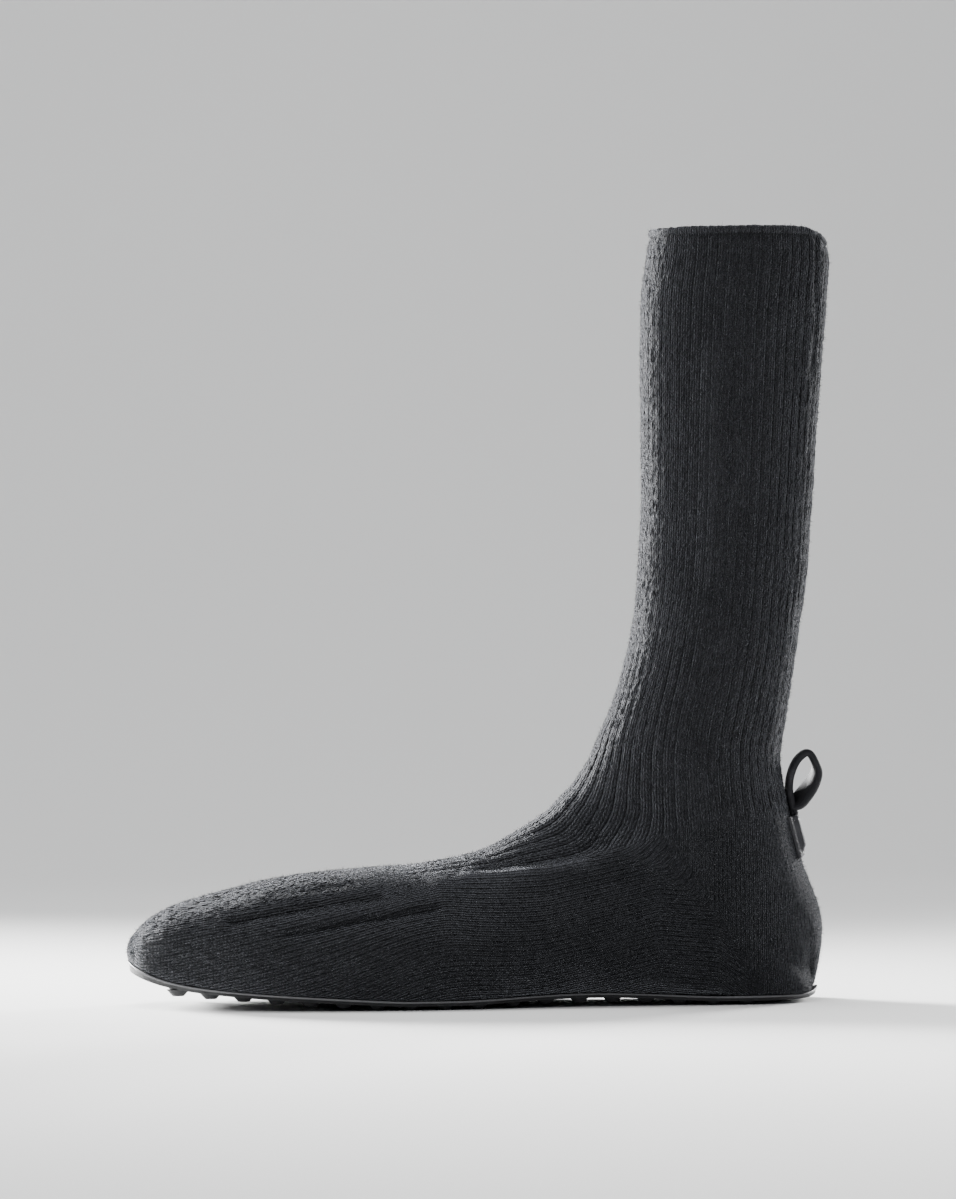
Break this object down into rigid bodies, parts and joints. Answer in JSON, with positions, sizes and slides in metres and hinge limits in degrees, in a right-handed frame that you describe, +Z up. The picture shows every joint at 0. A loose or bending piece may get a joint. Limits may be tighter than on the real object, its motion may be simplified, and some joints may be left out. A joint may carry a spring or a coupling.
{
  "type": "knit sock boot",
  "caption": "Calf-high knitted sock boot on a thin studded rubber sole, with a folded leather pull loop and a small patch at the back of the heel.",
  "frame": {"origin": "on the floor, under the middle stud of the heel's first row", "axes": "+Z up from the floor, +Y from heel to toe, +X towards the inner side of the left foot"},
  "size_m": [0.0928, 0.2684, 0.2908],
  "materials": {
    "knit": "ribbed, slightly fuzzy wool-like knit, matt",
    "sole_rubber": "fine-grained matt moulded rubber",
    "insole_board": "brushed textile on a soft board",
    "trim_leather": "smooth semi-gloss leather"
  },
  "bodies": {
    "root": {"upper": "knit", "outsole": "sole_rubber", "insole": "insole_board", "pull_loop": "trim_leather", "heel_patch": "trim_leather"}
  },
  "joints": []
}
